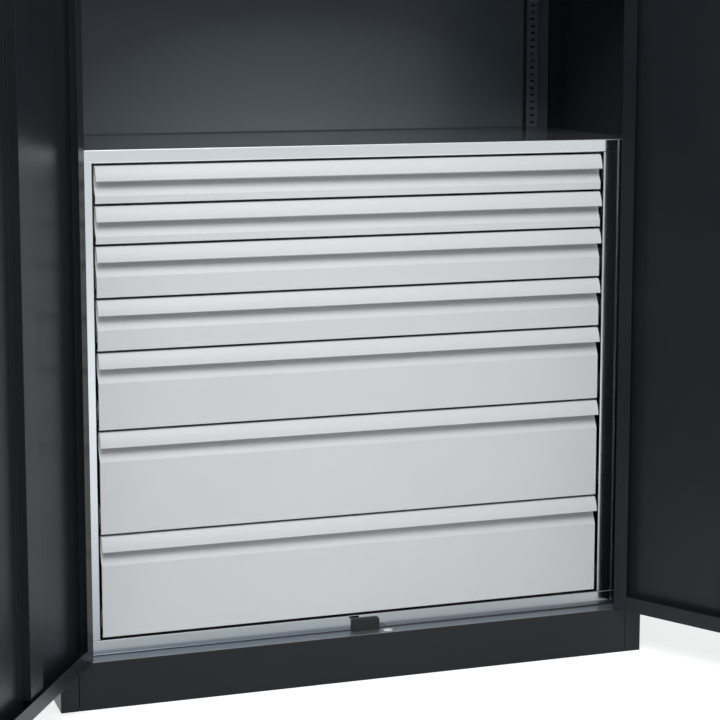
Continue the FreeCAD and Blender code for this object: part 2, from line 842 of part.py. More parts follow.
def slider(number):
    """The middle members of one drawer's two runners, each a bar with a roller at either end."""
    members = []
    outer_radius = "(runner_height / 2 - runner_sheet - roller_gap)"
    inner_radius = "(drawer_rail_height / 2 - runner_sheet - roller_gap)"
    outer_from = f"({SLIDER_IN} + runner_sheet)"
    outer_to = f"({FRAME} - runner_sheet - roller_gap)"
    inner_from = f"({TRAY_HALF} + runner_sheet + roller_gap)"
    for side in (-1, 1):
        outline = rectangle(SLIDER_IN, "-slider_height / 2", "runner_sheet", "slider_height")
        bar = folded("Bar", "XZ", mirrored(outline, side), SLIDER_LENGTH, True)
        members.append(place(bar, y=RUNNER_FRONT, z=runner_level(number)))
        rollers = [
            ("roller_inset", inner_radius, inner_from, SLIDER_IN),
            (f"{SLIDER_LENGTH} - roller_inset", outer_radius, outer_from, outer_to),
        ]
        for along, radius, near, far in rollers:
            roller = doc.addObject("Part::Cylinder", "Roller")
            roller.setExpression("Radius", bound(radius))
            roller.setExpression("Height", bound(f"{far} - {near}"))
            roller.Placement.Rotation = FreeCAD.Rotation(FreeCAD.Vector(0, 1, 0), 90)
            start = near if side > 0 else f"-{far}"
            place(roller, start, f"{RUNNER_FRONT} + {along}", runner_level(number))
            members.append(roller)
    group(f"drawer_{number + 1}_sliders", members)


def drawer_front(number):
    """The folded front: a rounded grip along the top, a finger recess, a slope and a flat."""
    drop = f"({PITCHES[number]} - front_gap / 2)"
    top = "(-front_gap / 2)"
    outline = [
        ("grip_recess + front_sheet", top),
        ("crown_radius", top, "-crown_radius"),
        (
            "crown_radius * (1 - sin(crown_turn * 1 deg))",
            f"{top} - crown_radius * (1 - cos(crown_turn * 1 deg))",
            "-grip_radius",
        ),
        ("-grip_reach", "-grip_drop"),
        ("-grip_reach + front_sheet", "-grip_drop - front_sheet / 2"),
        ("-grip_reach + 1.6 * front_sheet", "-grip_drop + front_sheet / 2", "grip_radius"),
        ("2.4 * front_sheet", f"{top} - 2.4 * front_sheet"),
        ("grip_recess", f"{top} - 2.4 * front_sheet"),
        ("grip_recess", "-recess_drop"),
        ("0", "-slope_drop"),
        ("0", f"-{drop}"),
        ("front_return", f"-{drop}"),
        ("front_return", f"-{drop} + front_sheet"),
        ("front_sheet", f"-{drop} + front_sheet"),
        ("front_sheet", "-slope_drop - 0.3 * front_sheet"),
        ("grip_recess + front_sheet", "-recess_drop - 0.7 * front_sheet"),
    ]
    name = f"drawer_{number + 1}_front"
    body = folded(name, "YZ", outline, f"2 * {FRONT_HALF}")
    keep(place(body, f"-{FRONT_HALF}", FRONT_FACE, drawer_level(number)), name)


def drawer_tray(number):
    """A welded tray with hemmed side walls and a runner rail on each side."""
    height = f"({PITCHES[number]} - tray_headroom)"
    inside = f"({TRAY_HALF} - tray_sheet)"
    foot = f"({drawer_level(number)} - {PITCHES[number]} + tray_floor_gap)"
    rise = f"{height} - 2 * tray_sheet"
    last = f"{TRAY_FRONT} + {TRAY_DEPTH} - tray_sheet"
    members = [
        block("Floor", f"-{inside}", TRAY_FRONT, foot, f"2 * {inside}", TRAY_DEPTH, "tray_sheet"),
    ]
    above = f"{foot} + tray_sheet"
    for start in (TRAY_FRONT, last):
        end = block("EndWall", f"-{inside}", start, above, f"2 * {inside}", "tray_sheet", rise)
        members.append(end)
    wall = [
        (inside, "0"),
        (TRAY_HALF, "0"),
        (TRAY_HALF, height),
        (f"{TRAY_HALF} - tray_hem", height),
        (f"{TRAY_HALF} - tray_hem", f"{height} - tray_sheet"),
        (inside, f"{height} - tray_sheet"),
    ]
    rail = channel(TRAY_HALF, "drawer_rail_height", "drawer_rail_width", 1)
    for side in (-1, 1):
        for outline, level in ((wall, foot), (rail, runner_level(number))):
            piece = folded("Side", "XZ", mirrored(outline, side), TRAY_DEPTH, True)
            members.append(place(piece, y=TRAY_FRONT, z=level))
    group(f"drawer_{number + 1}_tray", members)


def hinge_pivot(side, upper):
    """A pivot pin; the lower one has the collar that its door stands on."""
    reach = "(pin_reach + door_end_gap)"
    if upper:
        outline = rectangle("0", f"-{reach}", "pin_radius", f"{reach} + pin_reach")
    else:
        outline = [
            ("0", "-pin_reach"),
            ("pin_radius", "-pin_reach"),
            ("pin_radius", "0"),
            ("pin_collar", "0"),
            ("pin_collar", "door_end_gap - collar_gap"),
            ("pin_radius", "door_end_gap - collar_gap"),
            ("pin_radius", reach),
            ("0", reach),
        ]
    level = HEADER_FOOT if upper else "plinth_height"
    return place(turned("Pivot", outline), f"{side} * {HINGE_X}", HINGE_Y, level)


def on_door(body, side):
    """Hangs a piece that is drawn about the hinge line on the open door of one side."""
    angle = "door_angle" if side > 0 else "-door_angle"
    return place(body, f"{side} * {HINGE_X}", HINGE_Y, turn=angle)


def door_pan(name, side):
    """The door's sheet with its turned edges and the rim that lies back over the inside."""
    edge, free = "hinge_inset", f"(hinge_inset - {LEAF})"
    outline = [
        (edge, DOOR_BACK),
        (edge, "-hinge_inset + bend_radius", "bend_radius"),
        ("hinge_inset - bend_radius", "-hinge_inset"),
        (f"{free} + bend_radius", "-hinge_inset", "bend_radius"),
        (free, "-hinge_inset + bend_radius"),
        (free, DOOR_BACK),
    ]
    body = new_body(name)
    face = draw(plane_sketch(body, "XY"), mirrored(outline, side))
    face.setExpression("AttachmentOffset.Base.z", bound(DOOR_FOOT))
    pad(body, face, DOOR_HEIGHT)
    inner_width = f"({LEAF} - 2 * door_sheet)"
    start = f"{free} + door_sheet" if side > 0 else "-hinge_inset + door_sheet"
    hollow(
        body,
        start,
        "-hinge_inset + door_sheet",
        f"{DOOR_FOOT} + door_sheet",
        inner_width,
        "door_depth - 2 * door_sheet",
        f"{DOOR_HEIGHT} - 2 * door_sheet",
    )
    opening = f"{free} + door_rim" if side > 0 else "-hinge_inset + door_rim"
    hollow(
        body,
        opening,
        f"{DOOR_BACK} - 2 * door_sheet",
        f"{DOOR_FOOT} + door_rim",
        f"{LEAF} - 2 * door_rim",
        "3 * door_sheet",
        f"{DOOR_HEIGHT} - 2 * door_rim",
    )
    bore = ring(plane_sketch(body, "XY", "Bores"), "0", "0", "pin_radius + pin_clearance")
    cut(body, bore, backwards=True)
    if side > 0:
        for rod_x, level in ((ROD_X, DOOR_FOOT), (UPPER_ROD_X, DOOR_TOP)):
            passage = plane_sketch(body, "XY", "Passage")
            ring(passage, rod_x, ROD_LOCAL_Y, "rod_radius + guide_clearance")
            passage.setExpression("AttachmentOffset.Base.z", bound(level))
            cut(body, passage, "2 * door_sheet", backwards=level == DOOR_FOOT)
        spindle = plane_sketch(body, "XZ", "Spindle")
        ring(spindle, SPINDLE_X, "handle_rise", "spindle_radius + spindle_clearance")
        cut(body, spindle, "2 * hinge_inset", backwards=True)
    keep(on_door(body, side), name)


def door_bushes(name, side):
    """The blocks inside a door's corners that turn on the pivots."""
    blocks = []
    inner = "hinge_inset - door_sheet"
    low = f"{DOOR_FOOT} + door_sheet"
    high = f"{DOOR_TOP} - door_sheet - bush_height"
    for level in (low, high):
        body = new_body("Bush")
        x = f"{inner} - bush_side" if side > 0 else f"-({inner})"
        outline = rectangle(x, f"-({inner})", "bush_side", "bush_side")
        face = draw(plane_sketch(body, "XY"), outline)
        ring(face, "0", "0", "pin_radius + pin_clearance")
        face.setExpression("AttachmentOffset.Base.z", bound(level))
        pad(body, face, "bush_height")
        blocks.append(on_door(body, side))
    group(name, blocks)


def door_stiffener(name, side):
    """A hat section up the middle of the door's inside."""
    near = "(-hinge_inset + door_sheet)"
    far = f"({near} + stiffener_depth)"
    middle = f"(hinge_inset - {LEAF} / 2)"
    half = "(stiffener_width / 2)"
    outline = [
        (f"{middle} - {half} - stiffener_foot", near),
        (f"{middle} - {half} + door_sheet", near),
        (f"{middle} - {half} + door_sheet", f"{far} - door_sheet"),
        (f"{middle} + {half} - door_sheet", f"{far} - door_sheet"),
        (f"{middle} + {half} - door_sheet", near),
        (f"{middle} + {half} + stiffener_foot", near),
        (f"{middle} + {half} + stiffener_foot", f"{near} + door_sheet"),
        (f"{middle} + {half}", f"{near} + door_sheet"),
        (f"{middle} + {half}", far),
        (f"{middle} - {half}", far),
        (f"{middle} - {half}", f"{near} + door_sheet"),
        (f"{middle} - {half} - stiffener_foot", f"{near} + door_sheet"),
    ]
    body = new_body(name)
    face = draw(plane_sketch(body, "XY"), mirrored(outline, side))
    face.setExpression("AttachmentOffset.Base.z", bound(f"{DOOR_FOOT} + door_rim"))
    pad(body, face, f"{DOOR_HEIGHT} - 2 * door_rim")
    keep(on_door(body, side), name)


def closing_strip():
    """The strip on the left door that the right door shuts against."""
    edge = f"({LEAF} - hinge_inset)"
    near, far = f"({DOOR_BACK} + strip_gap)", f"({DOOR_BACK} + strip_gap + door_sheet)"
    outline = [
        (f"{edge} - strip_foot", DOOR_BACK),
        (f"{edge} - door_sheet", DOOR_BACK),
        (f"{edge} - door_sheet", near),
        (f"{edge} + strip_reach", near),
        (f"{edge} + strip_reach", far),
        (f"{edge} - strip_foot", far),
    ]
    body = new_body("left_door_closing_strip")
    face = draw(plane_sketch(body, "XY"), outline)
    face.setExpression("AttachmentOffset.Base.z", bound(f"{DOOR_FOOT} + strip_end"))
    pad(body, face, f"{DOOR_HEIGHT} - 2 * strip_end")
    keep(on_door(body, -1), "left_door_closing_strip")


def lock_rod(name, lower):
    """A round rod; thrown, its end stands out of the door's edge."""
    rod = new_body(name)
    face = ring(plane_sketch(rod, "XY"), ROD_X if lower else UPPER_ROD_X, ROD_LOCAL_Y, "rod_radius")
    foot = f"({DOOR_FOOT} + rod_tip_gap)" if lower else "(handle_rise - case_height / 2)"
    head = "(handle_rise + case_height / 2)" if lower else f"({DOOR_TOP} - rod_tip_gap)"
    face.setExpression("AttachmentOffset.Base.z", bound(foot))
    pad(rod, face, f"{head} - {foot}")
    keep(on_door(rod, 1), name)


def lock_case():
    """A cover over the pinion and the rods' racks, open at its ends."""
    near = "(-hinge_inset + door_sheet)"
    far = f"({ROD_LOCAL_Y} + rod_radius + case_gap + door_sheet)"
    left = f"({SPINDLE_X} - case_width / 2)"
    right = f"({SPINDLE_X} + case_width / 2)"
    outline = [
        (left, near),
        (f"{left} + door_sheet", near),
        (f"{left} + door_sheet", f"{far} - door_sheet"),
        (f"{right} - door_sheet", f"{far} - door_sheet"),
        (f"{right} - door_sheet", near),
        (right, near),
        (right, far),
        (left, far),
    ]
    body = new_body("lock_case")
    face = draw(plane_sketch(body, "XY"), outline)
    face.setExpression("AttachmentOffset.Base.z", bound("handle_rise - case_height / 2"))
    pad(body, face, "case_height")
    keep(on_door(body, 1), "lock_case")


def rod_guides():
    """Blocks inside the door's ends that the rods run in."""
    blocks = []
    near = "(-hinge_inset + door_sheet)"
    for lower, x in ((True, ROD_X), (False, UPPER_ROD_X)):
        low = f"{DOOR_FOOT} + door_sheet" if lower else f"{DOOR_TOP} - door_sheet - guide_height"
        body = new_body("Guide")
        half = "(rod_radius + guide_wall)"
        outline = rectangle(f"{x} - {half}", near, f"2 * {half}", f"{ROD_LOCAL_Y} - {near} + {half}")
        face = draw(plane_sketch(body, "XY"), outline)
        ring(face, x, ROD_LOCAL_Y, "rod_radius + guide_clearance")
        face.setExpression("AttachmentOffset.Base.z", bound(low))
        pad(body, face, "guide_height")
        blocks.append(on_door(body, 1))
    group("rod_guides", blocks)


def lock_escutcheon():
    """The plate behind the handle, on the door's outside."""
    body = new_body("lock_escutcheon")
    face = plane_sketch(body, "XZ")
    half = "(escutcheon_width / 2)"
    draw(
        face,
        rounded(
            f"{SPINDLE_X} - {half}",
            "handle_rise - escutcheon_height / 2",
            "escutcheon_width",
            "escutcheon_height",
            "escutcheon_radius",
        ),
    )
    ring(face, SPINDLE_X, "handle_rise", "spindle_radius + spindle_clearance")
    face.setExpression("AttachmentOffset.Base.z", bound("hinge_inset"))
    pad(body, face, "escutcheon_thickness")
    keep(on_door(body, 1), "lock_escutcheon")


def lock_handle():
    """Spindle, hub and lever of the turning handle; unlocked, the lever points to the hinges."""
    body = new_body("lock_handle")
    plate = "(hinge_inset + escutcheon_thickness + spindle_clearance)"
    shaft = ring(plane_sketch(body, "XZ"), SPINDLE_X, "handle_rise", "spindle_radius")
    shaft.setExpression("AttachmentOffset.Base.z", bound("hinge_inset - door_sheet - spindle_clearance"))
    pad(body, shaft, "handle_standoff")
    hub = ring(plane_sketch(body, "XZ", "Hub"), SPINDLE_X, "handle_rise", "hub_radius")
    hub.setExpression("AttachmentOffset.Base.z", bound(plate))
    pad(body, hub, "handle_standoff")
    lever = plane_sketch(body, "XZ", "Lever")
    middle = f"{SPINDLE_X} + (handle_length - handle_width) / 2"
    draw(lever, oblong(middle, "handle_rise", "handle_length", "handle_width"))
    lever_level = f"{plate} + handle_standoff - handle_thickness"
    lever.setExpression("AttachmentOffset.Base.z", bound(lever_level))
    pad(body, lever, "handle_thickness")
    keep(on_door(body, 1), "lock_handle")


def lock_pinion():
    """The pinion on the spindle's inner end, between the two rods."""
    body = new_body("lock_pinion")
    face = ring(plane_sketch(body, "XZ"), SPINDLE_X, "handle_rise", "pinion_radius")
    reach = f"({ROD_LOCAL_Y} + pinion_thickness / 2)"
    face.setExpression("AttachmentOffset.Base.z", bound(f"-{reach}"))
    pad(body, face, "pinion_thickness")
    neck = ring(plane_sketch(body, "XZ", "Neck"), SPINDLE_X, "handle_rise", "spindle_radius")
    neck.setExpression("AttachmentOffset.Base.z", bound(f"-{reach}"))
    pad(body, neck, f"{reach} + hinge_inset - door_sheet - spindle_clearance")
    keep(on_door(body, 1), "lock_pinion")


def door_stops():
    """The buffers that both doors shut against, on the ledge and under the header."""
    deep = "(ledge_depth - door_depth - stop_gap)"
    left = "stop_centre - stop_width / 2"
    stops = [
        block("Stop", left, f"{RAIL} - {deep}", "plinth_height", "stop_width", deep, "stop_height"),
        block(
            "Stop",
            left,
            f"{RAIL} - {deep}",
            f"{HEADER_FOOT} - stop_height",
            "stop_width",
            deep,
            "stop_height",
        ),
    ]
    group("door_stops", stops)


def levelling_feet():
    """Four screwed feet, wound in until they are level with the base."""
    outline = [
        ("0", "0"),
        ("foot_radius", "0"),
        ("foot_radius", "foot_thickness"),
        ("foot_stud_radius", "foot_thickness"),
        ("foot_stud_radius", "foot_stud_length"),
        ("0", "foot_stud_length"),
    ]
    feet = []
    for x in (f"-{SIDE} + foot_inset", f"{SIDE} - foot_inset"):
        for y in (f"{POST_BACK} + foot_inset", f"{BACK} - foot_inset"):
            feet.append(place(turned("Foot", outline), x, y))
    group("levelling_feet", feet)


def foot_brackets():
    """Plates across the corners of the base, which the feet are screwed into."""
    plates = []
    wall = f"({INSIDE} - panel_sheet)"
    front = f"({POST_BACK} + panel_sheet)"
    back = f"({BACK_WALL} - panel_sheet)"
    for side in (-1, 1):
        for at_back in (False, True):
            body = new_body("Bracket")
            x = f"-{wall}" if side < 0 else f"{wall} - foot_bracket_side"
            y = f"{back} - foot_bracket_side" if at_back else front
            face = draw(
                plane_sketch(body, "XY"), rectangle(x, y, "foot_bracket_side", "foot_bracket_side")
            )
            foot_y = f"{BACK} - foot_inset" if at_back else f"{POST_BACK} + foot_inset"
            ring(face, f"{side} * ({SIDE} - foot_inset)", foot_y, "foot_stud_radius")
            pad(body, face, "foot_bracket_sheet")
            plates.append(place(body, z="foot_bracket_rise"))
    group("foot_brackets", plates)


for name, side in SIDES.items():
    side_panel(f"side_panel_{name}", side)
back_panel()
roof_panel()
header()
plinth_front()
base_frame()
floor_panel()
foot_brackets()
levelling_feet()
group("uprights_rear", [rear_upright(side) for side in (-1, 1)])
group("uprights_front", [front_upright(side) for side in (-1, 1)])
shelves()
block_cover()
block_bottom_rail()
for name, side in SIDES.items():
    keep(block_post(RAIL, False, side), f"block_post_{name}")
group("block_posts_rear", [block_post(POST_REAR, True, side) for side in (-1, 1)])
for name, side in SIDES.items():
    fixed_runners(f"runners_fixed_{name}", side)
for number in range(len(PITCHES)):
    drawer_front(number)
    drawer_tray(number)
    slider(number)
door_stops()
group(
    "hinge_pivots",
    [hinge_pivot(side, upper) for side in (-1, 1) for upper in (False, True)],
)
for name, side in SIDES.items():
    door_pan(f"{name}_door_pan", side)
    door_bushes(f"{name}_door_bushes", side)
    door_stiffener(f"{name}_door_stiffener", side)
closing_strip()
lock_case()
rod_guides()
lock_escutcheon()
lock_handle()
lock_pinion()
lock_rod("lock_rod_lower", True)
lock_rod("lock_rod_upper", False)

doc.recompute()

faults = []
for thing in doc.Objects:
    if {"Invalid", "Error"} & set(thing.State):
        faults.append(f"{thing.Name} is {thing.State}")
for made, before in cuts:
    home = made.getParentGeoFeatureGroup().Label
    if made.Shape.isNull() or before.Shape.isNull():
        faults.append(f"{made.Name} in {home} has no shape")
    elif made.Shape.Volume >= before.Shape.Volume:
        faults.append(f"{made.Name} in {home} cuts nothing")
for node in nodes:
    if node.Shape.isNull() or not node.Shape.isValid():
        faults.append(f"{node.Label} has no valid shape")
labels = [node.Label for node in nodes]
if len(set(labels)) != len(labels):
    faults.append("two sub-parts share a name")
if faults:
    raise SystemExit("\n".join(faults))

os.makedirs("parts", exist_ok=True)
for node in nodes:
    node.Shape.exportStep(f"parts/{node.Label}.step")
print(len(nodes), "sub-parts written")
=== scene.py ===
import json
import math

import bmesh
import bpy
from mathutils import Euler, Matrix, Vector


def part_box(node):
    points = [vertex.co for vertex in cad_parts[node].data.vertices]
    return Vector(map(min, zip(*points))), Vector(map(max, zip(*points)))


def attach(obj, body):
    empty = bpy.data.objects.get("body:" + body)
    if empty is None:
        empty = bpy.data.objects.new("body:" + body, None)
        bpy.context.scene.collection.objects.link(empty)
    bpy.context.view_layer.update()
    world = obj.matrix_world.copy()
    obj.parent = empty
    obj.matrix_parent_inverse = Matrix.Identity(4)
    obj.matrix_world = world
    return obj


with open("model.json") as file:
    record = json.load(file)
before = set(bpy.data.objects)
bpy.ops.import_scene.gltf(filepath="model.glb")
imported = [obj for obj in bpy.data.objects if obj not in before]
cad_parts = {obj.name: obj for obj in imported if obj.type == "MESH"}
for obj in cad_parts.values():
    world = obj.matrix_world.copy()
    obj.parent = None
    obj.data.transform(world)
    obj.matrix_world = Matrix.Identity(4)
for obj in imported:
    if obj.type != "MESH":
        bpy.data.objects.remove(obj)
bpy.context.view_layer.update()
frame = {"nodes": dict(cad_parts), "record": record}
nodes = frame["nodes"]
scene = bpy.context.scene
print("frame loaded:", len(nodes), "nodes")


# the shift stays small, so that the other views keep the whole cabinet in the frame
camera = {
    "position": (-1.2215, -3.8459, 1.2914),
    "yaw": 18.63,
    "pitch": 7.894,
    "lens": 100.04,
    "sensor": 36.0,
    "shift": -0.09,
    "clip": (0.05, 200.0),
}


def makeCamera():
    data = bpy.data.cameras.new("camera")
    data.lens = camera["lens"]
    data.sensor_width = camera["sensor"]
    data.shift_y = camera["shift"]
    data.clip_start, data.clip_end = camera["clip"]
    eye = bpy.data.objects.new("camera", data)
    eye.location = camera["position"]
    tilt, turn = math.radians(90 - camera["pitch"]), -math.radians(camera["yaw"])
    eye.rotation_euler = Euler((tilt, 0, turn), "XYZ")
    scene.collection.objects.link(eye)
    scene.camera = eye


makeCamera()
print("camera placed")


# a shader socket that takes part in sums
class Wire:
    def __init__(self, tree, socket):
        self.tree = tree
        self.socket = socket

    def math(self, operation, *items):
        node = self.tree.nodes.new("ShaderNodeMath")
        node.operation = operation
        for place, item in zip(node.inputs, items):
            plug(self.tree, place, item)
        return Wire(self.tree, node.outputs[0])

    def __add__(self, other):
        return self.math("ADD", self, other)

    def __radd__(self, other):
        return self.math("ADD", other, self)

    def __sub__(self, other):
        return self.math("SUBTRACT", self, other)

    def __rsub__(self, other):
        return self.math("SUBTRACT", other, self)

    def __mul__(self, other):
        return self.math("MULTIPLY", self, other)

    def __rmul__(self, other):
        return self.math("MULTIPLY", other, self)

    def __truediv__(self, other):
        return self.math("DIVIDE", self, other)

    def __rtruediv__(self, other):
        return self.math("DIVIDE", other, self)

    def __pow__(self, other):
        return self.math("POWER", self, other)

    def __rpow__(self, other):
        return self.math("POWER", other, self)

    def __abs__(self):
        return self.math("ABSOLUTE", self)

    def folded(self, pitch):  # a zigzag that is 0 at every pitch
        return self.math("PINGPONG", self, pitch / 2)

    def capped(self):
        return self.math("MINIMUM", self, 1.0)


def plug(tree, place, item):
    if isinstance(item, Wire):
        tree.links.new(item.socket, place)
    else:
        place.default_value = item


class Finish:
    def __init__(self, name, tree=None):
        if tree is None:
            self.material = bpy.data.materials.new(name)
            self.material.use_nodes = True
            tree = self.material.node_tree
        self.tree = tree
        self.tree.nodes.clear()

    def node(self, kind, settings=None, inputs=None, output=0):
        made = self.tree.nodes.new("ShaderNode" + kind)
        for key, item in (settings or {}).items():
            setattr(made, key, item)
        for key, item in (inputs or {}).items():
            plug(self.tree, made.inputs[key], item)
        return Wire(self.tree, made.outputs[output]) if made.outputs else None

    def at(self, axis=None):
        place = self.node("NewGeometry", output="Position")
        return place if axis is None else self.part(place, axis)

    def facing(self, axis):
        return self.part(self.node("NewGeometry", output="Normal"), axis)

    def part(self, wire, axis):
        return self.node("SeparateXYZ", inputs={"Vector": wire}, output=axis)

    def noise(self, grain, stretch=None):
        scale, detail, roughness = grain
        place = self.at()
        if stretch:
            place = self.node("Mapping", inputs={"Vector": place, "Scale": stretch})
        inputs = {"Vector": place, "Scale": scale, "Detail": detail, "Roughness": roughness}
        return self.node("TexNoise", inputs=inputs)

    def ramp(self, wire, low, high):
        return self.node("MapRange", inputs={"Value": wire, "From Min": low, "From Max": high})

    def mixed(self, factor, first, second):
        inputs = {"Factor": factor, "A": first, "B": second}
        return self.node("Mix", {"data_type": "RGBA"}, inputs, "Result")

    def bump(self, height, depth, strength, edge=0.0):
        inputs = {"Height": height, "Distance": depth, "Strength": strength}
        if edge:  # sheet edges catch the light as if they were broken
            inputs["Normal"] = self.node("Bevel", {"samples": 6}, {"Radius": edge})
        return self.node("Bump", inputs=inputs)

    def seenBy(self, *rays):
        first, *others = (self.node("LightPath", output="Is %s Ray" % ray) for ray in rays)
        for other in others:
            first = first + other
        return first.capped()

    def shade(self, constants, varied):
        shader = self.node("BsdfPrincipled", inputs={**constants, **varied})
        self.node("OutputMaterial", inputs={"Surface": shader})
        return self.material


def colour(shade, tone=1.0):
    return (*(tone * one for one in shade), 1.0)


# from the first number to the second as the mask goes from 0 to 1
def spread(pair, mask):
    low, high = pair
    return low + (high - low) * mask


def distance(across, along):
    return (across * across + along * along) ** 0.5


# two tones in clouds, with a fine grain over them
def plainLook(name, look, tone=1.0):
    finish = Finish(name)
    cloud = finish.noise(look["cloud"])
    if "cloudRange" in look:
        cloud = finish.ramp(cloud, *look["cloudRange"])
    worn = cloud
    if "fine" in look:
        worn = look["cloudShare"] * cloud + (1 - look["cloudShare"]) * finish.noise(look["fine"])
    grain = finish.noise(look["grain"]) if "grain" in look else cloud
    varied = {
        "Base Color": finish.mixed(cloud, *(colour(shade, tone) for shade in look["colours"])),
        "Roughness": spread(look["roughness"], worn),
        "Normal": finish.bump(grain, look["depth"], look["strength"], look.get("edge", 0.0)),
    }
    return finish, look["constants"], varied


def makePlain(name, look):
    finish, constants, varied = plainLook(name, look)
    return finish.shade(constants, varied)


anthracitePaint = {
    "colours": ((0.0100, 0.0125, 0.0150), (0.0140, 0.0170, 0.0195)),
    "roughness": (0.27, 0.36),
    "cloud": (2.6, 4.0, 0.6),
    "cloudRange": (0.35, 0.7),
    "cloudShare": 0.6,
    "fine": (90.0, 3.0, 0.6),
    "grain": (620.0, 1.0, 0.4),
    "depth": 0.00003,
    "strength": 0.35,
    "edge": 0.0012,
    "constants": {"Specular IOR Level": 0.18},
}


# the sill's upward faces get a light metal colour as a painted reflection of the rail above
sill = {"tone": 0.80, "paintedSheenFacing": (0.7, 0.95), "paintedSheenColour": (0.45, 0.485, 0.53), "paintedSheenMetal": 0.95}


def makeSill():
    # tone 0.8 darkens the anthracite: painted shade on the plinth front
    finish, constants, varied = plainLook("anthracite sill", anthracitePaint, sill["tone"])
    paintedSheen = finish.ramp(finish.facing("Z"), *sill["paintedSheenFacing"])  # upward faces: a light metal colour as painted reflection of the rail
    varied["Base Color"] = finish.mixed(paintedSheen, varied["Base Color"], colour(sill["paintedSheenColour"]))
    varied["Metallic"] = sill["paintedSheenMetal"] * paintedSheen
    return finish.shade(constants, varied)


wall = {
    "facing": (-0.5, -0.9),
    "paintedTones": (6.4, 20.0),
    "coat": (0.12, 1.0),
    "coatRoughness": 0.3,
    "middle": (0.03, 0.97),
    "reach": (0.64, 0.34),
    "joint": (0.0010, 0.0034),
    "weldColumn": 0.588,
    "weldPitch": 0.12,
    "weldRadii": (0.0035, 0.0014),
    "weldDepth": 0.0004,
}


# only the side that looks into the cabinet has the smooth top coat; that side is painted many times
# lighter than the anthracite as painted light, and paler still over the drawers as a painted pool of
# light
def makeWall():
    finish, constants, varied = plainLook("anthracite wall", anthracitePaint)
    inward = finish.ramp(finish.facing("Y"), *wall["facing"])
    aside, above = (
        (finish.at(axis) - middle) / reach
        for axis, middle, reach in zip("XZ", wall["middle"], wall["reach"])
    )
    # painted pool of light: 1 at the middle over the drawers, falling to 0 at the reach
    paintedLight = finish.ramp(distance(aside, above), 1.0, 0.0)
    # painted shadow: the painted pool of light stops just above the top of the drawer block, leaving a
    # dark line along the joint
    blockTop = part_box("block_cover")[1][2]
    paintedLight = paintedLight * finish.ramp(finish.at("Z"), *(blockTop + up for up in wall["joint"]))
    # the inner face is a lit copy of the anthracite colour, paler still in the painted pool of light
    paintedInsideTone, paintedPoolTone = (colour(anthracitePaint["colours"][0], tone) for tone in wall["paintedTones"])
    varied["Base Color"] = finish.mixed(inward, varied["Base Color"], finish.mixed(paintedLight, paintedInsideTone, paintedPoolTone))
    varied["Coat Weight"] = spread(wall["coat"], paintedLight) * inward
    # a column of spot welds up each side
    away = distance(abs(finish.at("X")) - wall["weldColumn"], finish.at("Z").folded(wall["weldPitch"]))
    dents = 1.0 - finish.ramp(away, *wall["weldRadii"])
    varied["Normal"] = finish.node("Bump", inputs={
        "Height": dents,
        "Distance": wall["weldDepth"],
        "Normal": varied["Normal"],
    })
    return finish.shade({**constants, "Coat Roughness": wall["coatRoughness"]}, varied)


greyPaint = {
    "colours": ((0.553, 0.568, 0.580), (0.533, 0.550, 0.563)),
    "roughness": (0.34, 0.44),
    "cloud": (3.2, 4.0, 0.55),
    "cloudRange": (0.35, 0.7),
    "cloudShare": 0.5,
    "fine": (120.0, 3.0, 0.6),
    "grain": (560.0, 1.0, 0.4),
    "depth": 0.00003,
    "strength": 0.3,
    "edge": 0.001,
    "constants": {"Specular IOR Level": 0.3},
}


brightSteel = {
    "colours": ((0.60, 0.645, 0.665), (0.555, 0.60, 0.62)),
    "paintedShadeColour": (0.22, 0.245, 0.265),
    "unshadedFrom": (0.10, 1.0),
    "unshadedCurve": 0.47,
    "roughness": (0.11, 0.19),
    "cloud": (5.0, 4.0, 0.6),
    "cloudRange": (0.3, 0.75),
    "cloudShare": 0.6,
    "grain": (900.0, 2.0, 0.6),
    "grainStretch": (1, 1, 0.02),
    "depth": 0.000012,
    "strength": 0.2,
    "edge": 0.0005,
    "topFacing": (0.8, 0.97),
    "topDust": 0.075,
    "bendFacing": (0.12, 0.35),
    "bendRoughness": 0.34,
}


# rolled upright, darker towards the floor as painted shade, with a film of dust on what faces up and
# duller bends
def makeBrightSteel():
    steel = brightSteel
    finish = Finish("bright steel")
    cloud = finish.ramp(finish.noise(steel["cloud"]), *steel["cloudRange"])
    grain = finish.noise(steel["grain"], steel["grainStretch"])
    # painted shade: from its own colour high up to a dark grey near the floor
    unshaded = finish.ramp(finish.at("Z"), *steel["unshadedFrom"]) ** steel["unshadedCurve"]
    shade = finish.mixed(cloud, *(colour(one) for one in steel["colours"]))
    tilt = finish.facing("Z")
    top = finish.ramp(tilt, *steel["topFacing"])
    bend = steel["bendRoughness"] * finish.ramp(tilt, *steel["bendFacing"]) * (1.0 - top)
    worn = steel["cloudShare"] * cloud + (1 - steel["cloudShare"]) * grain
    return finish.shade({}, {
        "Base Color": finish.mixed(unshaded, colour(steel["paintedShadeColour"]), shade),
        "Roughness": spread(steel["roughness"], worn) + bend,
        "Metallic": 1.0 - steel["topDust"] * top,
        "Normal": finish.bump(grain, steel["depth"], steel["strength"], steel["edge"]),
    })


galvanisedSteel = {
    "colours": ((0.50, 0.52, 0.53), (0.60, 0.62, 0.63)),
    "roughness": (0.32, 0.5),
    "spangle": 95.0,
    "spangleShare": 0.6,
    "fine": (300.0, 3.0, 0.6),
    "depth": 0.00002,
    "strength": 0.3,
}


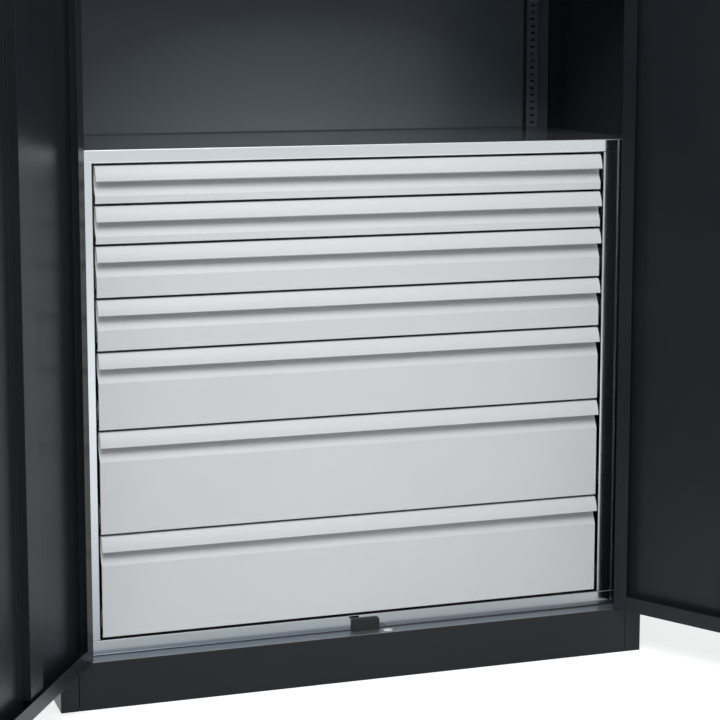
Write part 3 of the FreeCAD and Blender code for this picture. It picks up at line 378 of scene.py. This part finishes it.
def makeGalvanisedSteel():
    steel = galvanisedSteel
    finish = Finish("galvanised steel")
    spangles = {"Vector": finish.at(), "Scale": steel["spangle"]}
    cell = finish.node("TexVoronoi", inputs=spangles, output="Color")
    tone = finish.node("RGBToBW", inputs={"Color": cell})
    fine = finish.noise(steel["fine"])
    worn = steel["spangleShare"] * tone + (1 - steel["spangleShare"]) * fine
    return finish.shade({"Metallic": 1.0}, {
        "Base Color": finish.mixed(tone, *(colour(one) for one in steel["colours"])),
        "Roughness": spread(steel["roughness"], worn),
        "Normal": finish.bump(fine, steel["depth"], steel["strength"]),
    })


blackPlastic = {
    "colours": ((0.008, 0.008, 0.008), (0.014, 0.014, 0.014)),
    "roughness": (0.38, 0.54),
    "cloud": (40.0, 3.0, 0.6),
    "grain": (1400.0, 2.0, 0.5),
    "depth": 0.00005,
    "strength": 0.4,
    "edge": 0.0008,
    "constants": {"Specular IOR Level": 0.22},
}

chromedZinc = {
    "colours": ((0.72, 0.73, 0.75), (0.62, 0.63, 0.66)),
    "roughness": (0.10, 0.22),
    "cloud": (60.0, 4.0, 0.6),
    "depth": 0.00002,
    "strength": 0.2,
    "constants": {"Metallic": 1.0},
}

whiteNylon = {
    "colours": ((0.80, 0.80, 0.78), (0.74, 0.73, 0.69)),
    "roughness": (0.35, 0.50),
    "cloud": (70.0, 3.0, 0.6),
    "depth": 0.00004,
    "strength": 0.3,
    "constants": {},
}


finishes = {
    "anthracite_paint": makePlain("anthracite paint", anthracitePaint),
    "wall": makeWall(),
    "sill": makeSill(),
    "light_grey_paint": makePlain("light grey paint", greyPaint),
    "bright_steel": makeBrightSteel(),
    "galvanised_steel": makeGalvanisedSteel(),
    "black_plastic": makePlain("black plastic", blackPlastic),
    "chromed_zinc": makePlain("chromed zinc", chromedZinc),
    "white_nylon": makePlain("white nylon", whiteNylon),
}
print("finishes made:", len(finishes))


ownFinish = {"back_panel": "wall", "uprights_rear": "wall", "plinth_front": "sill"}


def dressNodes():
    for part in frame["record"]["subparts"]:
        made = nodes[part["node"]]
        finish = finishes[ownFinish.get(part["node"], part["material_slot"])]
        for slot in made.material_slots:
            slot.link = "OBJECT"
            slot.material = finish
        if not made.material_slots:
            made.data.materials.append(finish)


dressNodes()
print("nodes dressed")


# a frame of reference on a surface: its origin, the way out of it and the way along it
def seat(origin, out, along=(0, 0, 1)):
    out, along = Vector(out).normalized(), Vector(along).normalized()
    across = along.cross(out).normalized()
    turn = Matrix((across, out.cross(across), out)).transposed().to_4x4()
    return Matrix.Translation(Vector(origin)) @ turn


# the right door as it stands open: its hinge line, the way along the leaf and the way out of it
door = {"hinge": (0.5575, -0.2455), "along": (0.5, -math.sqrt(0.75)), "out": (math.sqrt(0.75), 0.5)}
doorOutside = Vector((*door["out"], 0))


def onDoor(side, along, inward, height):
    x, y = (
        hinge + along * leaf - inward * out
        for hinge, leaf, out in zip(door["hinge"], door["along"], door["out"])
    )
    return (side * x, y, height)


def doorInside(side):
    return -Vector((side * doorOutside.x, doorOutside.y, 0))


def polygon(radius, sides):
    turns = [2 * math.pi * (step + 0.5) / sides for step in range(sides)]
    return [(radius * math.cos(turn), radius * math.sin(turn)) for turn in turns]


# the side of a rounded head, from its foot up by a quarter of a right angle at each step
def dome(steps, middle, radius, height):
    turns = [math.pi / 8 * step for step in range(steps)]
    return [(middle + (radius - middle) * math.cos(turn), height * math.sin(turn)) for turn in turns]


# closes the band between two rings of points, where either may be a single point
def band(mesh, lower, upper):
    count = max(len(lower), len(upper))
    for step in range(count):
        after = (step + 1) % count
        if len(lower) == 1:
            mesh.faces.new((lower[0], upper[after], upper[step]))
        elif len(upper) == 1:
            mesh.faces.new((lower[step], lower[after], upper[0]))
        else:
            mesh.faces.new((lower[step], lower[after], upper[after], upper[step]))


# turns a profile of (radius, height) about its axis, and gives the last ring
def lathe(mesh, profile, sides, places):
    for place in places:
        rings = []
        for radius, height in profile:
            outline = polygon(radius, sides) if radius else [(0, 0)]
            rings.append([mesh.verts.new(place @ Vector((x, y, height))) for x, y in outline])
        for lower, upper in zip(rings, rings[1:]):
            band(mesh, lower, upper)
    return rings[-1]


# sinks a hole of the given outline into the flat top that a lathe has left open
def sink(mesh, place, crown, outline, height, depth):
    lip, foot = (
        [mesh.verts.new(place @ Vector((x, y, z))) for x, y in outline]
        for z in (height, height - depth)
    )
    band(mesh, lip, foot)
    mesh.faces.new(foot)
    rims = [mesh.edges.get((ring[i - 1], ring[i])) for ring in (crown, lip) for i in range(len(ring))]
    bmesh.ops.bridge_loops(mesh, edges=rims)


# edges sharper than the angle given, in degrees, stay sharp
def finishPiece(name, mesh, slot, body, smooth=35):
    bmesh.ops.recalc_face_normals(mesh, faces=mesh.faces)
    data = bpy.data.meshes.new(name)
    mesh.to_mesh(data)
    mesh.free()
    piece = bpy.data.objects.new(name, data)
    scene.collection.objects.link(piece)
    data.materials.append(finishes[slot])
    for face in data.polygons:
        face.use_smooth = True
    data.set_sharp_from_angle(angle=math.radians(smooth))
    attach(piece, body)


rivet = {"radius": 0.0040, "height": 0.0014, "sunk": 0.0003, "sides": 16, "domeSteps": 4}


def makeRivets(name, body, slot, places, height=rivet["height"]):
    radius, sunk = rivet["radius"], -rivet["sunk"]
    profile = [(0, sunk), (radius, sunk)] + dome(rivet["domeSteps"], 0, radius, height) + [(0, height)]
    mesh = bmesh.new()
    lathe(mesh, profile, rivet["sides"], places)
    finishPiece(name, mesh, slot, body, smooth=50)


screw = {"radius": 0.0038, "height": 0.0019, "sunk": 0.0003, "sides": 24, "domeSteps": 5}
screwSocket = {"radius": 0.0019, "flatTop": 1.25, "sides": 6, "depth": 0.0012}


# button heads with six-sided sockets
def makeScrews(name, body, slot, places):
    mesh = bmesh.new()
    radius, height, sunk = screw["radius"], screw["height"], -screw["sunk"]
    crown = screwSocket["flatTop"] * screwSocket["radius"]  # the flat round the socket
    profile = [(0, sunk), (radius, sunk)] + dome(screw["domeSteps"], crown, radius, height)
    socket = polygon(screwSocket["radius"], screwSocket["sides"])
    for place in places:
        last = lathe(mesh, profile, screw["sides"], [place])
        sink(mesh, place, last, socket, height, screwSocket["depth"])
    finishPiece(name, mesh, slot, body, smooth=40)


# on the lock: the plate's and the case's screws, a rose round the hub and the key cylinder
lock = {
    "along": 0.5194,
    "hub": 1.050,
    "plate": -0.0075,
    "screwHeights": (0.9845, 1.1165),
    "case": 0.0177,
    "caseSpread": (0.016, 0.046),
}
rose = {
    "profile": (
        (0.0154, 0.0), (0.0176, 0.0), (0.0176, 0.0010),
        (0.0168, 0.0018), (0.0160, 0.0018), (0.0154, 0.0012),
    ),
    "sides": 48,
}
cylinder = {
    "height": 1.094,
    "sides": 32,
    "profile": (
        (0, -0.0003), (0.0086, -0.0003), (0.0086, 0.0016), (0.0079, 0.0023),
        (0.0068, 0.0023), (0.0064, 0.0017), (0.0050, 0.0017),
    ),
    "keyway": (
        (-0.0006, -0.0033), (0.0008, -0.0033), (0.0008, -0.0010), (0.0003, 0.0002),
        (0.0008, 0.0014), (0.0008, 0.0033), (-0.0006, 0.0033),
    ),
    "keywayDepth": 0.0060,
}


def lockPlace(height, inward=lock["plate"], along=lock["along"]):
    return seat(onDoor(1, along, inward, height), doorOutside if inward < 0 else doorInside(1))


def makeRose():
    mesh = bmesh.new()
    lathe(mesh, rose["profile"] + rose["profile"][:1], rose["sides"], [lockPlace(lock["hub"])])
    bmesh.ops.remove_doubles(mesh, verts=mesh.verts, dist=1e-6)
    finishPiece("handleRose", mesh, "chromed_zinc", "right_door")


def makeCylinder():
    mesh = bmesh.new()
    place = lockPlace(cylinder["height"])
    last = lathe(mesh, cylinder["profile"], cylinder["sides"], [place])
    sink(mesh, place, last, cylinder["keyway"], cylinder["profile"][-1][1], cylinder["keywayDepth"])
    finishPiece("keyCylinder", mesh, "chromed_zinc", "right_door")


def makeLockBits():
    places = [lockPlace(height) for height in lock["screwHeights"]]
    makeScrews("plateScrews", "right_door", "chromed_zinc", places)
    makeRose()
    makeCylinder()
    across, up = lock["caseSpread"]
    corners = [(side * across, level * up) for side in (-1, 1) for level in (-1, 1)]
    places = [
        lockPlace(lock["hub"] + level, lock["case"], lock["along"] + shift)
        for shift, level in corners
    ]
    makeScrews("lockCaseScrews", "right_door", "chromed_zinc", places)


makeLockBits()
print("lock bits made")


# nylon sockets that the rods shoot into, one in the sill and one in the header; their white is painted
# light, standing in for the light seen through the slot in the sill
rodSocket = {
    "centres": ((0.0540, -0.2350, 0.0920, 1), (0.0222, -0.2350, 1.9150, -1)),
    "slot": (0.016, 0.011),
    "flange": 0.0014,
    "proud": 0.0007,
    "wall": 0.0006,
    "depth": 0.0165,
    "clear": 0.0001,
}


def oblong(length, width, steps=8):
    reach, radius = (length - width) / 2, width / 2
    turns = [math.pi * step / steps - math.pi / 2 for step in range(steps + 1)]
    right = [(reach + radius * math.cos(turn), radius * math.sin(turn)) for turn in turns]
    return right + [(-x, -y) for x, y in right]


def makeRodSockets():
    mesh = bmesh.new()
    length, width = rodSocket["slot"]
    flange, proud, depth = rodSocket["flange"], rodSocket["proud"], rodSocket["depth"]
    thick, clear = rodSocket["wall"], rodSocket["clear"]
    # how far out of the slot's outline and how high, from the floor inside to the floor outside
    profile = (
        (-thick, thick - depth), (-thick, 0.0), (-thick, proud), (flange, proud),
        (flange, clear), (-clear, clear), (-clear, -depth),
    )
    for x, y, level, way in rodSocket["centres"]:
        place = Matrix.Translation((x, y, level)) @ Matrix.Rotation(0 if way > 0 else math.pi, 4, "X")
        rings = []
        for out, height in profile:
            outline = oblong(length + 2 * out, width + 2 * out)
            rings.append([mesh.verts.new(place @ Vector((a, b, height))) for a, b in outline])
        mesh.faces.new(rings[0])
        mesh.faces.new(rings[-1])
        for lower, upper in zip(rings, rings[1:]):
            band(mesh, lower, upper)
    finishPiece("rodSockets", mesh, "white_nylon", "carcass", smooth=40)


makeRodSockets()
print("rod sockets made")


# rubber buffers on the rims of both doors
buffer = {
    "profile": ((0, -0.0002), (0.0036, -0.0002), (0.0036, 0.0006), (0.0028, 0.0012), (0, 0.0013)),
    "sides": 20,
    "along": (0.048, 0.500),
    "heights": (0.112, 1.895),
    "rim": 0.0205,
}
# flat rivets through the closing strip
stripRivets = {
    "along": 0.547,
    "face": 0.0221,
    "heights": (0.20, 0.52, 0.84, 1.16, 1.48, 1.80),
    "proud": 0.0008,
}


def makeBuffers(side, body):
    mesh = bmesh.new()
    places = [
        seat(onDoor(side, along, buffer["rim"], height), doorInside(side))
        for along in buffer["along"]
        for height in buffer["heights"]
    ]
    lathe(mesh, buffer["profile"], buffer["sides"], places)
    finishPiece("buffers_" + body, mesh, "black_plastic", body)


def makeStripRivets():
    along, face = stripRivets["along"], stripRivets["face"]
    spots = [onDoor(-1, along, face, height) for height in stripRivets["heights"]]
    places = [seat(spot, doorInside(-1)) for spot in spots]
    makeRivets("stripRivets", "left_door", "anthracite_paint", places, stripRivets["proud"])


makeBuffers(-1, "left_door")
makeBuffers(1, "right_door")
makeStripRivets()
print("door bits made")


# rivets that hold each tray to its front, seen when the drawer is out
trayRivets = {"drawers": 7, "across": (-0.46, -0.16, 0.16, 0.46), "face": -0.1983, "inset": 0.014}


def makeTrayRivets():
    for number in range(1, trayRivets["drawers"] + 1):
        low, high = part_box("drawer_%d_tray" % number)
        levels = (low[2] + trayRivets["inset"], high[2] - trayRivets["inset"])
        spots = [(x, trayRivets["face"], level) for x in trayRivets["across"] for level in levels]
        places = [seat(spot, (0, 1, 0)) for spot in spots]
        makeRivets("trayRivets_%d" % number, "drawer_%d" % number, "galvanised_steel", places)


makeTrayRivets()
print("tray rivets made")


# lock nuts over and under the brackets that the feet screw into
footNut = {
    "x": (-0.538, 0.538),
    "y": (-0.156, 0.188),
    "levels": (0.0320, 0.0410),
    "profile": ((0, 0), (0.0088, 0), (0.0098, 0.0008), (0.0098, 0.0050), (0.0086, 0.0060), (0, 0.0060)),
    "sides": 6,
}


def makeFootNuts():
    mesh = bmesh.new()
    spots = [(x, y, level) for x in footNut["x"] for y in footNut["y"] for level in footNut["levels"]]
    lathe(mesh, footNut["profile"], footNut["sides"], [Matrix.Translation(spot) for spot in spots])
    finishPiece("footNuts", mesh, "galvanised_steel", "carcass", smooth=20)


makeFootNuts()
print("foot nuts made")


studio = {
    "ambient": 0.34,
    "lamps": (
        ("key", (-1.0, -3.4, 4.3), (0.0, 0.0, 0.7), (3.6, 2.6), 222.0),
        ("fill", (3.4, -3.2, 1.6), (0.0, 0.0, 0.9), (1.6, 2.4), 30.0),
        ("side", (4.6, 0.8, 2.6), (0.0, 0.0, 0.9), (2.4, 2.4), 80.0),
        ("back", (-2.6, 3.6, 1.5), (0.0, 0.0, 0.9), (2.6, 2.0), 75.0),
    ),
}


def makeWorld():
    world = bpy.data.worlds.new("studio")
    scene.world = world
    world.use_nodes = True
    finish = Finish("studio", world.node_tree)
    strength = spread((studio["ambient"], 1.0), finish.seenBy("Camera", "Glossy", "Transmission"))
    background = finish.node("Background", inputs={"Color": colour((1, 1, 1)), "Strength": strength})
    finish.node("OutputWorld", inputs={"Surface": background})


# the far floor is as white as the backdrop, and the near one keeps the shadow
floorPiece = {
    "size": 120.0,
    "level": -0.0005,
    "colour": (0.80, 0.805, 0.81),
    "glows": ((0.50, 0.50, 0.50), (0.74, 0.74, 0.74)),
    "farFrom": (2.6, 7.0),
}


def makeFloor():
    half = floorPiece["size"] / 2
    mesh = bpy.data.meshes.new("floor")
    corners = [(-half, -half, 0), (half, -half, 0), (half, half, 0), (-half, half, 0)]
    mesh.from_pydata(corners, [], [(0, 1, 2, 3)])
    floor = bpy.data.objects.new("floor", mesh)
    floor.location.z = floorPiece["level"]
    scene.collection.objects.link(floor)
    finish = Finish("floor")
    far = finish.ramp(distance(finish.at("X"), finish.at("Y")), *floorPiece["farFrom"])
    glow = finish.mixed(far, *(colour(shade) for shade in floorPiece["glows"]))
    matt = finish.node("BsdfDiffuse", inputs={"Color": colour(floorPiece["colour"])})
    light = finish.node("Emission", inputs={"Color": glow, "Strength": finish.seenBy("Camera", "Glossy")})
    both = finish.node("AddShader", inputs={0: matt, 1: light})
    finish.node("OutputMaterial", inputs={"Surface": both})
    mesh.materials.append(finish.material)


def makeLamps():
    for name, place, target, size, power in studio["lamps"]:
        data = bpy.data.lights.new(name, "AREA")
        data.shape = "RECTANGLE"
        data.size, data.size_y = size
        data.energy = power
        lamp = bpy.data.objects.new(name, data)
        lamp.location = place
        lamp.rotation_euler = (Vector(target) - Vector(place)).to_track_quat("-Z", "Y").to_euler()
        scene.collection.objects.link(lamp)


makeWorld()
makeFloor()
makeLamps()
scene.view_settings.view_transform = "Standard"
print("studio lit")
